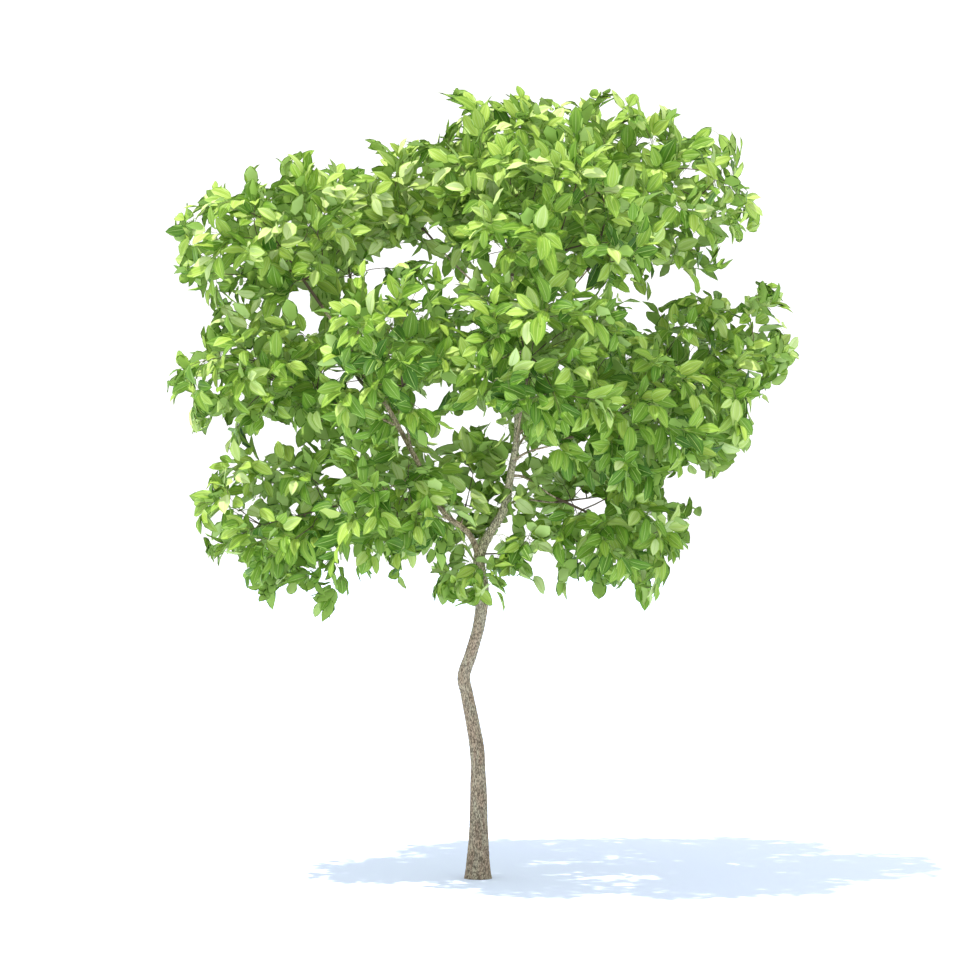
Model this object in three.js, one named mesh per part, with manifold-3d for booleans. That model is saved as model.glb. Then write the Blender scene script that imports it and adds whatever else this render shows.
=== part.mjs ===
// Young apple tree with one clear stem: a kinked trunk, two main boughs, their side boughs, and the
// masses of foliage that the boughs carry. Millimetres, +Z up. The origin is the middle of the flat
// cut under the trunk, +X is to the right and -Y to the front of the tree as it is usually seen.
import * as THREE from "three";
import { mergeVertices } from "three/addons/utils/BufferGeometryUtils.js";
import Module from "manifold-3d";

const wasm = await Module();
wasm.setup();

const point = (x, y, z) => new THREE.Vector3(x, y, z);
const UP = point(0, 0, 1);
const { lerp, clamp, degToRad } = THREE.MathUtils;

// Trunk: the middle line bends at a kink, and the radius swells into the root flare.
const TRUNK_LINE = [
  point(0, 0, 0),
  point(0, 4, 340),
  point(-8, 10, 510),
  point(-44, 16, 695),
  point(-55, 12, 761),
  point(-27, 0, 852),
  point(2, -10, 960),
  point(16, -8, 1098),
  point(3, 0, 1242),
];
const TRUNK_RADIUS = 19;
const FLARE_RADIUS = 26;
const FLARE_HEIGHT = 330;
const FOOT_RADIUS = 6;
const FOOT_HEIGHT = 30;
const TRUNK_SIDES = 12;
const TRUNK_RINGS = 15;

// Main boughs: they leave the fork at the trunk's top, and each ends in the mass at its tip.
const MAIN_BOUGHS = {
  left_bough: {
    line: [
      point(3, 0, 1215),
      point(-33, -12, 1299),
      point(-126, -30, 1380),
      point(-198, -40, 1515),
      point(-333, -50, 1765),
      point(-450, -45, 1960),
    ],
    mass: "top_left",
    radius: 12,
    tipRadius: 6,
  },
  right_bough: {
    line: [
      point(3, 0, 1215),
      point(48, 8, 1314),
      point(95, 15, 1392),
      point(125, 20, 1542),
      point(146, 20, 1674),
      point(140, 10, 1900),
      point(131, -20, 2120),
    ],
    mass: "top_centre",
    radius: 16,
    tipRadius: 5.5,
  },
};
const MAIN_SIDES = 7;
const MAIN_RINGS = 13;

// Side boughs: each leaves its limb partly along it, and bends over into its mass. Where one piece of
// wood stands on another, they keep a hair's gap.
const SIDE_SIDES = 5;
const SIDE_RINGS = 5;
const SIDE_RADIUS = 6.5;
const SIDE_TIP_RADIUS = 4.5;
const SIDE_LEAN = 0.45;
const SIDE_BEND = 0.35;
const GAP = 0.35;

// Masses of foliage: middle, half-sizes along X, Y and Z, the limb that carries each, and the height
// where its own bough leaves that limb. One without a height is carried by the limb's tip, and a
// spray grows straight out of the trunk.
const MASSES = {
  low_left: { at: point(-765, -50, 1350), size: point(355, 330, 395), limb: "left_bough", from: 1500 },
  low_front: { at: point(-340, -330, 1410), size: point(300, 280, 290), limb: "left_bough", from: 1355 },
  low_right: { at: point(575, 0, 1310), size: point(345, 310, 310), limb: "right_bough", from: 1519 },
  low_back_left: { at: point(-340, 450, 1430), size: point(270, 290, 230), limb: "left_bough", from: 1440 },
  low_back_right: { at: point(470, 470, 1440), size: point(290, 300, 230), limb: "right_bough", from: 1400 },
  fork_left: { at: point(-55, -90, 1135), size: point(165, 140, 130), limb: "trunk", from: 1185 },
  fork_right: { at: point(170, -30, 1215), size: point(160, 140, 140), limb: "trunk", from: 1225 },
  inner: { at: point(-25, 70, 1510), size: point(140, 150, 230), limb: "left_bough", from: 1330 },
  mid_left: { at: point(-830, -50, 1905), size: point(425, 370, 310), limb: "left_bough", from: 1700 },
  mid_front_left: { at: point(-290, -560, 1960), size: point(310, 320, 350), limb: "left_bough", from: 1600 },
  mid_front: { at: point(195, -600, 1990), size: point(400, 340, 370), limb: "right_bough", from: 1640 },
  mid_right_front: { at: point(530, -330, 1750), size: point(370, 340, 330), limb: "right_bough", from: 1570 },
  mid_right: { at: point(890, 0, 1890), size: point(375, 370, 475), limb: "right_bough", from: 1674 },
  mid_back_left: { at: point(-525, 540, 1962), size: point(390, 365, 325), limb: "left_bough", from: 1760 },
  mid_back_right: { at: point(460, 600, 1924), size: point(365, 365, 345), limb: "right_bough", from: 1610 },
  mid_back: { at: point(-32, 720, 2019), size: point(345, 295, 260), limb: "right_bough", from: 1760 },
  top_left: { at: point(-780, -50, 2435), size: point(495, 390, 325), limb: "left_bough" },
  top_left_centre: { at: point(-297, 60, 2568), size: point(215, 320, 300), limb: "right_bough", from: 2050 },
  top_centre: { at: point(119, -150, 2644), size: point(345, 365, 410), limb: "right_bough" },
  top_right: { at: point(655, -80, 2610), size: point(520, 430, 390), limb: "right_bough", from: 1950 },
  top_front: { at: point(310, -600, 2440), size: point(360, 330, 340), limb: "right_bough", from: 1900 },
  top_back: { at: point(233, 520, 2568), size: point(475, 375, 365), limb: "right_bough", from: 1850 },
  top_back_left: { at: point(-530, 500, 2430), size: point(370, 340, 300), limb: "left_bough", from: 1900 },
};
const CROWN_MIDDLE = point(30, 0, 1850);
const CROWN_FOOT = 1000;
const CROWN_HEIGHT = 2000;
const ENTRY_STEP = 5;

// Shoots: the first mass's seed and the step to the next one's, how many darts are thrown for a tip,
// how far out they fall, and how much a long way back to the stem's foot counts against a place to
// spring from. A shoot is tested for clearance, and carries later shoots, at given shares of its way.
const FIRST_SEED = 4001;
const SEED_STEP = 37;
const SHOOT_TRIES = 220;
const SHOOT_DARTS = 12;
const SHOOT_REACH = 0.85;
const SHOOT_LEAST = 20;
const WAY_COST = 0.35;
const SHOOT_RADIUS = 6;
const SHOOT_TIP_RADIUS = 4.5;
const SHOOT_TESTS = [0.15, 0.3, 0.45, 0.6, 0.7, 0.8, 0.9, 1];
const SHOOT_BUDS = [0.35, 0.7, 1];
const TWIG_SIDES = 3;
const STEM_RINGS = 4;
const STEM_PAST_MIDDLE = 0.15;
const SPRAY_RISE = 20;

// Leaves: each is larger than life and stands for a small spray of them. Widths, thicknesses and the
// places of the widest and thickest points are shares of the length. The leaf at a shoot's tip and the
// ones beside it are pulled outwards, along the shoot and round it by different amounts.
const LEAF_TOTAL = 478;
const LEAF_LEAST = 8;
const LEAF_SHORTEST = 110;
const LEAF_LONGEST = 250;
const LEAF_SHARE = 0.68;
const LEAF_WIDTH = 0.62;
const LEAF_THICKNESS = 0.035;
const LEAF_THICKEST = 0.25;
const LEAF_WIDEST = 0.45;
const LEAF_MIDDLE = 0.6;
const EDGE_STEPS = 5;
const LEAVES_A_SHOOT = 4;
const LEAF_SPACING = 0.22;
const TIP_LEAF = { outward: 0.6, along: 0.8, spread: 0.4 };
const SIDE_LEAF = { outward: 0.3, along: 0.35, spread: 1 };
const SPREAD_LIFT = 0.4;
const SPREAD_BEAT = 2.1;
const LEAF_TILT = 0.4;
const DROOP = -0.55;
const LIFT = 0.35;
const LEAF_TRIES = 12;
const LEAF_SIZE_LEAST = 0.85;
const LEAF_SIZE_RANGE = 0.3;
const GOLDEN_ANGLE = degToRad(137.5);

// Clearances: between masses, from a tip to the edge of its mass, from shoots and leaves to limbs.
const SPACE_MARGIN = 2;
const TIP_MARGIN = 25;
const SHOOT_CLEAR = 8;
const LEAF_CLEAR = 16;
const BEAD_SPACING = 12;

const BARK = new THREE.MeshStandardMaterial({ color: "#8e8069", roughness: 0.9, metalness: 0 });
const YOUNG_BARK = new THREE.MeshStandardMaterial({ color: "#84705c", roughness: 0.85, metalness: 0 });
const LEAF = new THREE.MeshStandardMaterial({ color: "#7cb342", roughness: 0.6, metalness: 0 });

// Numbers from 0 to 1 that are the same for the same seed.
function seeded(seed) {
  let state = seed;
  return () => {
    state = (state * 48271) % 2147483647;
    return state / 2147483647;
  };
}

// A closed tapering tube along a line of points: one ring of corners at each point, square to the
// line unless the rings are level, and a fan at each end.
function tube(line, radii, sides, level = false) {
  const positions = [];
  let across = null;
  line.forEach((middle, k) => {
    const along = line[Math.min(k + 1, line.length - 1)].clone().sub(line[Math.max(k - 1, 0)]).normalize();
    if (!across) across = Math.abs(along.x) < 0.9 ? point(1, 0, 0) : point(0, 1, 0);
    across = level ? point(1, 0, 0) : across.clone().addScaledVector(along, -across.dot(along)).normalize();
    const aside = level ? point(0, 1, 0) : along.clone().cross(across);
    for (let s = 0; s < sides; s++) {
      const turn = (2 * Math.PI * s) / sides;
      const corner = middle.clone();
      corner.addScaledVector(across, radii[k] * Math.cos(turn));
      corner.addScaledVector(aside, radii[k] * Math.sin(turn));
      positions.push(...corner.toArray());
    }
  });
  const faces = [];
  for (let k = 0; k + 1 < line.length; k++) {
    for (let s = 0; s < sides; s++) {
      const next = (s + 1) % sides;
      const [a, b] = [k * sides + s, k * sides + next];
      const [c, d] = [a + sides, b + sides];
      faces.push(a, b, d, a, d, c);
    }
  }
  const top = (line.length - 1) * sides;
  for (let s = 1; s + 1 < sides; s++) {
    faces.push(0, s + 1, s, top, top + s, top + s + 1);
  }
  return shape(positions, faces);
}

function shape(positions, faces) {
  const geometry = new THREE.BufferGeometry();
  geometry.setAttribute("position", new THREE.Float32BufferAttribute(positions, 3));
  geometry.setIndex(faces);
  return geometry;
}

function solid(geometry) {
  return new wasm.Manifold(
    new wasm.Mesh({
      numProp: 3,
      vertProperties: new Float32Array(geometry.getAttribute("position").array),
      triVerts: new Uint32Array(geometry.index.array),
    }),
  );
}

// The largest body of a solid as a geometry: a loose scrap is dropped.
function largest(made) {
  const bodies = made.decompose().sort((a, b) => b.volume() - a.volume());
  const mesh = bodies[0].getMesh();
  return mergeVertices(shape(mesh.vertProperties, [...mesh.triVerts]), 1e-3);
}

// A limb keeps its middle line as close points, with the radius at each.
function makeLimb(line, radiusAt, rings, sides, level = false) {
  const share = Array.from({ length: rings }, (_, k) => k / (rings - 1));
  return { line: share.map((t) => line.getPoint(t)), radii: share.map(radiusAt), sides, level };
}

function makeTrunk() {
  const line = new THREE.CatmullRomCurve3(TRUNK_LINE, false, "centripetal");
  const radiusAt = (z) =>
    TRUNK_RADIUS + FLARE_RADIUS * Math.exp(-z / FLARE_HEIGHT) + FOOT_RADIUS * Math.exp(-z / FOOT_HEIGHT);
  const limb = makeLimb(line, () => 0, TRUNK_RINGS, TRUNK_SIDES, true);
  limb.line.splice(1, 0, point(0, 0, FOOT_HEIGHT));
  limb.radii = limb.line.map((middle) => radiusAt(middle.z));
  return limb;
}

// Where a limb passes a height, and the way it runs there.
function onLimb(limb, height) {
  const k = Math.max(limb.line.findIndex((middle) => middle.z > height), 1);
  const [below, above] = [limb.line[k - 1], limb.line[k]];
  const share = (height - below.z) / (above.z - below.z);
  return { at: below.clone().lerp(above, share), along: above.clone().sub(below).normalize() };
}

// A mass keeps to its ellipsoid, and to its side of the plane between it and each other mass.
const names = Object.keys(MASSES);
const isSpray = (mass) => mass.limb === "trunk";
const weight = (mass) => Math.cbrt(mass.size.x * mass.size.y * mass.size.z) ** 2;
function inSpace(name, place, margin) {
  const mass = MASSES[name];
  const from = place.clone().sub(mass.at);
  const reach = from.clone().divide(mass.size.clone().subScalar(margin)).length();
  if (reach > 1) return false;
  const own = from.lengthSq() - weight(mass);
  return names.every((other) => {
    if (other === name) return true;
    const them = MASSES[other];
    const theirs = place.distanceToSquared(them.at) - weight(them);
    return theirs - own >= 2 * margin * mass.at.distanceTo(them.at);
  });
}

// Every limb as beads, so that shoots and leaves can be kept clear of them.
const beads = [];
function addBeads(limb) {
  for (let k = 0; k + 1 < limb.line.length; k++) {
    const steps = Math.ceil(limb.line[k].distanceTo(limb.line[k + 1]) / BEAD_SPACING);
    for (let s = 0; s <= steps; s++) {
      beads.push({
        at: limb.line[k].clone().lerp(limb.line[k + 1], s / steps),
        radius: lerp(limb.radii[k], limb.radii[k + 1], s / steps),
      });
    }
  }
}
const clearOfLimbs = (place, margin) =>
  beads.every((bead) => bead.at.distanceTo(place) > bead.radius + margin);

// A bough enters its mass where the line from the mass's middle towards the bough's foot leaves it.
function entryOf(name, foot) {
  const mass = MASSES[name];
  const step = foot.clone().sub(mass.at).normalize().multiplyScalar(ENTRY_STEP);
  const place = mass.at.clone();
  while (inSpace(name, place.clone().add(step), TIP_MARGIN)) place.add(step);
  return place;
}

function makeMainBough({ line, mass, radius, tipRadius }) {
  const foot = line[line.length - 1];
  const way = new THREE.CatmullRomCurve3([...line, entryOf(mass, foot)], false, "centripetal");
  return makeLimb(way, (t) => tipRadius + (radius - tipRadius) * (1 - t), MAIN_RINGS, MAIN_SIDES);
}

function makeSideBough(name, limb) {
  const mass = MASSES[name];
  const { at, along } = onLimb(limb, mass.from);
  const end = entryOf(name, at);
  const reach = at.distanceTo(end);
  const towards = end.clone().sub(at).normalize();
  const into = mass.at.clone().sub(end).normalize();
  const leave = towards.clone().lerp(along, SIDE_LEAN).normalize();
  const line = new THREE.CubicBezierCurve3(
    at,
    at.clone().addScaledVector(leave, SIDE_BEND * reach),
    end.clone().addScaledVector(into, -SIDE_BEND * reach),
    end,
  );
  const radiusAt = (t) => SIDE_TIP_RADIUS + (SIDE_RADIUS - SIDE_TIP_RADIUS) * (1 - t);
  return makeLimb(line, radiusAt, SIDE_RINGS, SIDE_SIDES);
}

const tubeOf = (limb, swell = 0) => {
  const radii = limb.radii.map((radius) => radius + swell);
  const line = limb.line.map((middle) => middle.clone());
  const last = line.length - 1;
  line[last].addScaledVector(line[last].clone().sub(line[last - 1]).normalize(), swell);
  return tube(line, radii, limb.sides, limb.level);
};

// A leaf: a thin kite, flat beneath and ridged above, with its root sunk to the middle of its shoot.
function leafCorners(place, way, face, length) {
  const side = way.clone().cross(face).normalize();
  const top = side.clone().cross(way).normalize();
  const widest = place.clone().addScaledVector(way, LEAF_WIDEST * length);
  const half = (LEAF_WIDTH * length) / 2;
  return [
    place,
    widest.clone().addScaledVector(side, half),
    place.clone().addScaledVector(way, length),
    widest.clone().addScaledVector(side, -half),
    place.clone().addScaledVector(way, LEAF_THICKEST * length).addScaledVector(top, LEAF_THICKNESS * length),
  ];
}
const LEAF_FACES = [0, 3, 1, 3, 2, 1, 0, 1, 4, 1, 2, 4, 2, 3, 4, 3, 0, 4];

// The leaf fits if its corners are in the mass's space and points all over it are clear of limbs.
function leafFits(name, corners) {
  if (!corners.every((corner) => inSpace(name, corner, SPACE_MARGIN))) return false;
  const [root, left, tip, right] = corners;
  for (const edge of [left, right, root.clone().lerp(tip, LEAF_WIDEST)]) {
    for (let k = 0; k <= EDGE_STEPS; k++) {
      for (const [from, to] of [[root, edge], [edge, tip]]) {
        if (!clearOfLimbs(from.clone().lerp(to, k / EDGE_STEPS), LEAF_CLEAR)) return false;
      }
    }
  }
  return true;
}

// The place farthest from the tips so far, of a few darts thrown into the mass.
function farthestDart(name, tips, random) {
  const mass = MASSES[name];
  let tip = null;
  let apart = -1;
  for (let c = 0; c < SHOOT_DARTS; c++) {
    const dart = point(2 * random() - 1, 2 * random() - 1, 2 * random() - 1);
    if (dart.length() > 1) continue;
    const place = dart.multiply(mass.size).multiplyScalar(SHOOT_REACH).add(mass.at);
    if (!inSpace(name, place, TIP_MARGIN) || !clearOfLimbs(place, TIP_MARGIN)) continue;
    const nearest = Math.min(...tips.map((other) => other.distanceTo(place)));
    if (nearest > apart) [apart, tip] = [nearest, place];
  }
  return tip;
}

// Of the ways that a leaf could stand round its shoot, the one farthest from the leaves so far. Leaves
// point outwards, up near the top of the crown and down near its foot, and hang edge down.
function growLeaf(name, place, along, order, length, around, middles) {
  const outward = place.clone().sub(CROWN_MIDDLE).normalize();
  const height = (place.z - CROWN_FOOT) / CROWN_HEIGHT;
  const pull = order % LEAVES_A_SHOOT === 0 ? TIP_LEAF : SIDE_LEAF;
  let best = null;
  let apart = -1;
  for (let turn = 0; turn < LEAF_TRIES; turn++) {
    const angle = GOLDEN_ANGLE * (order + turn);
    const spread = point(Math.cos(angle), Math.sin(angle), SPREAD_LIFT * Math.sin(SPREAD_BEAT * angle));
    const aim = outward.clone().multiplyScalar(pull.outward).addScaledVector(along, pull.along);
    aim.addScaledVector(spread, pull.spread).addScaledVector(UP, lerp(DROOP, LIFT, height)).normalize();
    const corners = leafCorners(place, aim, point(-spread.y, spread.x, LEAF_TILT), length);
    const middle = corners[0].clone().lerp(corners[2], LEAF_MIDDLE);
    const nearest = Math.min(...middles.map((other) => other.distanceTo(middle)), length);
    if (nearest <= apart || !leafFits(name, corners)) continue;
    const leaf = solid(shape(corners.flatMap((corner) => corner.toArray()), LEAF_FACES));
    if (around.intersect(leaf).isEmpty()) [best, apart] = [{ leaf, middle }, nearest];
  }
  return best;
}

// A mass grows from one stem. Each new shoot reaches for the place farthest from the tips so far, and
// springs from the wood that gives it the shortest way. Leaves stand round it by the golden angle. A
// shoot or leaf that would cross another leaf is skipped.
function growMass(name, stem) {
  const random = seeded(FIRST_SEED + SEED_STEP * names.indexOf(name));
  const usual = LEAF_SHARE * Math.sqrt(weight(MASSES[name]));
  const leafLength = clamp(usual, LEAF_SHORTEST, LEAF_LONGEST);
  const crown = names.reduce((sum, other) => sum + weight(MASSES[other]), 0);
  const quota = Math.max(Math.round((LEAF_TOTAL * weight(MASSES[name])) / crown), LEAF_LEAST);
  let joined = solid(tube(stem.line, stem.radii, TWIG_SIDES));
  let foliage = null;
  const wood = stem.line.map((place) => ({ place, way: place.distanceTo(stem.line[0]) })).slice(1);
  const cost = (bit, tip) => bit.place.distanceTo(tip) + WAY_COST * bit.way;
  const tips = [stem.line[stem.line.length - 1]];
  const middles = [];
  for (let attempt = 0; attempt < SHOOT_TRIES && middles.length < quota; attempt++) {
    const tip = farthestDart(name, tips, random);
    if (!tip) continue;
    const root = wood.reduce((best, bit) => (cost(bit, tip) < cost(best, tip) ? bit : best));
    const reach = root.place.distanceTo(tip);
    if (reach < SHOOT_LEAST) continue;
    const onWay = SHOOT_TESTS.map((share) => root.place.clone().lerp(tip, share));
    if (!onWay.every((place) => clearOfLimbs(place, SHOOT_CLEAR))) continue;
    const shoot = solid(tube([root.place, tip], [SHOOT_RADIUS, SHOOT_TIP_RADIUS], TWIG_SIDES));
    if (foliage && !foliage.intersect(shoot).isEmpty()) continue;
    const along = tip.clone().sub(root.place).normalize();
    let around = joined;
    let leaves = null;
    for (let k = 0; k < LEAVES_A_SHOOT && middles.length < quota; k++) {
      const place = tip.clone().addScaledVector(along, -LEAF_SPACING * k * reach - SHOOT_TIP_RADIUS);
      const length = leafLength * (LEAF_SIZE_LEAST + LEAF_SIZE_RANGE * random());
      const grown = growLeaf(name, place, along, k + LEAVES_A_SHOOT * attempt, length, around, middles);
      if (!grown) continue;
      middles.push(grown.middle);
      leaves = leaves ? leaves.add(grown.leaf) : grown.leaf;
      around = around.add(grown.leaf);
    }
    if (!leaves) continue;
    tips.push(tip);
    for (const share of SHOOT_BUDS) {
      wood.push({ place: root.place.clone().lerp(tip, share), way: root.way + share * reach });
    }
    joined = around.add(shoot);
    foliage = foliage ? foliage.add(leaves) : leaves;
  }
  return joined;
}

const tree = new THREE.Group();
function addNode(name, geometry, material) {
  const mesh = new THREE.Mesh(geometry, material);
  mesh.name = name;
  tree.add(mesh);
}

// The trunk, and the two main boughs standing on its top: the right one first, the left one beside it.
const limbs = { trunk: makeTrunk() };
for (const [name, bough] of Object.entries(MAIN_BOUGHS)) limbs[name] = makeMainBough(bough);
const trunkSwollen = solid(tubeOf(limbs.trunk, GAP));
const rightSwollen = solid(tubeOf(limbs.right_bough, GAP));
const onTrunk = (limb) => solid(tubeOf(limb)).subtract(trunkSwollen);
addNode("trunk", tubeOf(limbs.trunk), BARK);
addNode("right_bough", largest(onTrunk(limbs.right_bough)), YOUNG_BARK);
addNode("left_bough", largest(onTrunk(limbs.left_bough).subtract(rightSwollen)), YOUNG_BARK);
Object.values(limbs).forEach(addBeads);

// A side bough for each mass that hasn't got a main bough's tip or grows out of the trunk.
const carriers = {};
for (const name of names) {
  const mass = MASSES[name];
  if (isSpray(mass)) continue;
  carriers[name] = limbs[mass.limb];
  if (!mass.from) continue;
  carriers[name] = makeSideBough(name, limbs[mass.limb]);
  const limb = solid(tubeOf(limbs[mass.limb], GAP));
  addNode(name + "_bough", largest(solid(tubeOf(carriers[name])).subtract(limb)), YOUNG_BARK);
  addBeads(carriers[name]);
}

// The stem of a mass goes on from its bough's tip, or starts inside the trunk and is cut clear of it.
function makeStem(name) {
  const mass = MASSES[name];
  let start, along, radius;
  if (isSpray(mass)) {
    start = onLimb(limbs.trunk, mass.from).at;
    along = mass.at.clone().sub(start).setZ(SPRAY_RISE).normalize();
    radius = SIDE_TIP_RADIUS;
  } else {
    const { line, radii } = carriers[name];
    const last = line.length - 1;
    along = line[last].clone().sub(line[last - 1]).normalize();
    start = line[last].clone().addScaledVector(along, GAP);
    radius = radii[last];
  }
  const way = new THREE.QuadraticBezierCurve3(
    start,
    start.clone().addScaledVector(along, start.distanceTo(mass.at) / 2),
    mass.at.clone().addScaledVector(along, STEM_PAST_MIDDLE * mass.size.x),
  );
  return makeLimb(way, (t) => lerp(radius, SHOOT_RADIUS, t), STEM_RINGS, TWIG_SIDES);
}

for (const name of names) {
  const grown = growMass(name, makeStem(name));
  addNode(name, largest(isSpray(MASSES[name]) ? grown.subtract(trunkSwollen) : grown), LEAF);
}

export default tree;
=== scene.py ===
import bpy
import numpy as np
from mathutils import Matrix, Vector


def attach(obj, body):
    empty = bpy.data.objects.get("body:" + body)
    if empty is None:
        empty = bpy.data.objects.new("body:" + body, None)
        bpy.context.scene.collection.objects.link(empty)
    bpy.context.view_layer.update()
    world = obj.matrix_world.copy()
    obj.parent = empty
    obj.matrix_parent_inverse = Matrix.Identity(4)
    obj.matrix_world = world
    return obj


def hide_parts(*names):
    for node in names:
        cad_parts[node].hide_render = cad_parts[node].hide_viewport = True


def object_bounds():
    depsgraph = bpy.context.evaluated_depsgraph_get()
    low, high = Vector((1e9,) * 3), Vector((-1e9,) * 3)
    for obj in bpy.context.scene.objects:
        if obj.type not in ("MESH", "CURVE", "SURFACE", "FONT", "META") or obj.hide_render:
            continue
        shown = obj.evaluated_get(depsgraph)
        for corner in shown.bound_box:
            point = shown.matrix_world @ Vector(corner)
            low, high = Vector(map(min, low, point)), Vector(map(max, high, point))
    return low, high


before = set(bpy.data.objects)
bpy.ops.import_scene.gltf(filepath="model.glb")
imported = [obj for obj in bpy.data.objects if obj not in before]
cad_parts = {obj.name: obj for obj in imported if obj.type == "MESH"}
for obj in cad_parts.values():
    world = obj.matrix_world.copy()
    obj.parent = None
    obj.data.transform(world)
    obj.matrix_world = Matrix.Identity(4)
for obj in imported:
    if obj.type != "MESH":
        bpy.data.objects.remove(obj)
solid_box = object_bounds()

# The view: a level camera far in front of the tree, at half the tree's height, so that the horizon
# crosses the middle of a square picture. The lens is the one that gives a metre beside the stem its
# size in that picture.
PICTURE_SIDE = 960
PIXELS_A_METRE = 264.2
VIEW_DISTANCE = 11.5
VIEW_HEIGHT = 1.507
VIEW_ASIDE = 0.006
SENSOR_WIDTH = 36.0
FARTHEST = 200.0

view = bpy.data.cameras.new("view")
view.sensor_width = SENSOR_WIDTH
view.lens = SENSOR_WIDTH * PIXELS_A_METRE * VIEW_DISTANCE / PICTURE_SIDE
view.clip_end = FARTHEST
camera = bpy.data.objects.new("camera", view)
camera.location = (VIEW_ASIDE, -VIEW_DISTANCE, VIEW_HEIGHT)
camera.rotation_euler = (np.pi / 2, 0, 0)
bpy.context.scene.collection.objects.link(camera)
bpy.context.scene.camera = camera
bpy.context.scene.view_settings.view_transform = "Standard"

# The studio: a plain, pale and faintly blue floor in a bright white room, and one key light high on the
# left in front, which lays the crown's dappled shadow to the right and behind the stem. The floor's
# faint blue is a painted tint of cool light in that shadow; where the key light falls, the floor shows
# white.
FLOOR_HALF = 40.0
# The floor's colour: its faint blue is a painted tint of cool light in the shadow.
FLOOR_COLOUR = "#DCE8FF"
ROOM_COLOUR = "#FFFFFF"
ROOM_STRENGTH = 1.22
KEY_STRENGTH = 3.8
KEY_COLOUR = "#FFFAEE"
KEY_SOFTNESS = 0.015
SHADOW_ASIDE = 0.295
SHADOW_BEHIND = 0.16


def linear(colour):
    """A hex colour as linear red, green, blue and alpha: a channel under 0.04045 is divided by 12.92,
    and any other is raised to the power 2.4 after 0.055 is added and the sum divided by 1.055."""
    channels = np.array([int(colour[k : k + 2], 16) / 255 for k in (1, 3, 5)])
    low, high = channels / 12.92, ((channels + 0.055) / 1.055) ** 2.4
    return (*np.where(channels <= 0.04045, low, high), 1.0)


def add_node(tree, kind, settings=(), **inputs):
    """Adds one node with its settings. An input is called by its name, or by _ and its number, and is
    joined to the socket that is given for it, or else set to the value."""
    node = tree.nodes.new(kind)
    for name, value in dict(settings).items():
        setattr(node, name, value)
    for name, value in inputs.items():
        socket = node.inputs[int(name[1:]) if name[0] == "_" else name.replace("_", " ")]
        if isinstance(value, bpy.types.NodeSocket):
            tree.links.new(value, socket)
        else:
            socket.default_value = value
    return node


def new_material(name, **finish):
    """A material with one Principled shader, whose sockets take the finish that is given."""
    material = bpy.data.materials.new(name)
    material.use_nodes = True
    shader = material.node_tree.nodes["Principled BSDF"]
    for socket, value in finish.items():
        shader.inputs[socket.replace("_", " ")].default_value = value
    return material, material.node_tree, shader


def make_mesh(name, places, quads, materials, slots=None):
    """A mesh object at the origin, from its corners' places and its four-cornered faces."""
    mesh = bpy.data.meshes.new(name)
    places = np.asarray(places, np.float32).reshape(-1, 3)
    quads = np.asarray(quads, np.int32).reshape(-1, 4)
    mesh.vertices.add(len(places))
    mesh.vertices.foreach_set("co", places.ravel())
    mesh.loops.add(quads.size)
    mesh.loops.foreach_set("vertex_index", quads.ravel())
    mesh.polygons.add(len(quads))
    mesh.polygons.foreach_set("loop_start", np.arange(0, quads.size, 4, dtype=np.int32))
    mesh.polygons.foreach_set("use_smooth", np.full(len(quads), True))
    for material in materials:
        mesh.materials.append(material)
    if slots is not None:
        mesh.polygons.foreach_set("material_index", np.asarray(slots, np.int32).ravel())
    mesh.update(calc_edges=True)
    made = bpy.data.objects.new(name, mesh)
    bpy.context.scene.collection.objects.link(made)
    return made


# Matt pale paint, rolled on: even and without gloss, so that only the shadow shows on it. Its faint blue
# is a painted tint of cool light in the shadow.
floor_finish, _, _ = new_material(
    "matt_pale_studio_floor", Base_Color=linear(FLOOR_COLOUR), Roughness=1.0, Specular_IOR_Level=0.0
)
floor = make_mesh(
    "floor",
    [[x * FLOOR_HALF, y * FLOOR_HALF, 0] for x, y in ((-1, -1), (1, -1), (1, 1), (-1, 1))],
    [[0, 1, 2, 3]],
    [floor_finish],
)

room = bpy.data.worlds.new("room")
room.use_nodes = True
room.node_tree.nodes["Background"].inputs["Color"].default_value = linear(ROOM_COLOUR)
room.node_tree.nodes["Background"].inputs["Strength"].default_value = ROOM_STRENGTH
bpy.context.scene.world = room

key = bpy.data.lights.new("key", "SUN")
key.energy = KEY_STRENGTH
key.color = linear(KEY_COLOUR)[:3]
key.angle = KEY_SOFTNESS
key_light = bpy.data.objects.new("key_light", key)
key_light.rotation_euler = (np.arctan(SHADOW_BEHIND), -np.arctan(SHADOW_ASIDE), 0)
bpy.context.scene.collection.objects.link(key_light)

# The stem and the leading bough: one clear stem with a root flare, a lean to the left, a kink and a
# fork, where the right bough carries it on. Sizes are metres. The bark is old and cracked at the foot,
# and smoother up the bough.
STEM_LINE = [
    (0, 0, 0), (0, 0.004, 0.340), (-0.008, 0.010, 0.510), (-0.044, 0.016, 0.695), (-0.055, 0.012, 0.761),
    (-0.027, 0, 0.852), (0.002, -0.010, 0.960), (0.016, -0.008, 1.098),
]
STEM_TOP = (0.003, 0, 1.242)
RIGHT_LINE = [
    (0.003, 0, 1.215), (0.048, 0.008, 1.314), (0.095, 0.015, 1.392), (0.125, 0.020, 1.542),
    (0.146, 0.020, 1.674), (0.140, 0.010, 1.900), (0.131, -0.020, 2.120),
]
LEFT_LINE = [
    (0.003, 0, 1.215), (-0.033, -0.012, 1.299), (-0.126, -0.030, 1.380), (-0.198, -0.040, 1.515),
    (-0.333, -0.050, 1.765), (-0.450, -0.045, 1.960),
]
STEM_RADIUS = 0.0225
FLARE_RADIUS, FLARE_HEIGHT = 0.026, 0.290
FOOT_RADIUS, FOOT_HEIGHT = 0.006, 0.030
RIGHT_RADII = (0.0185, 0.0055)
LEFT_RADII = (0.012, 0.006)

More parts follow.
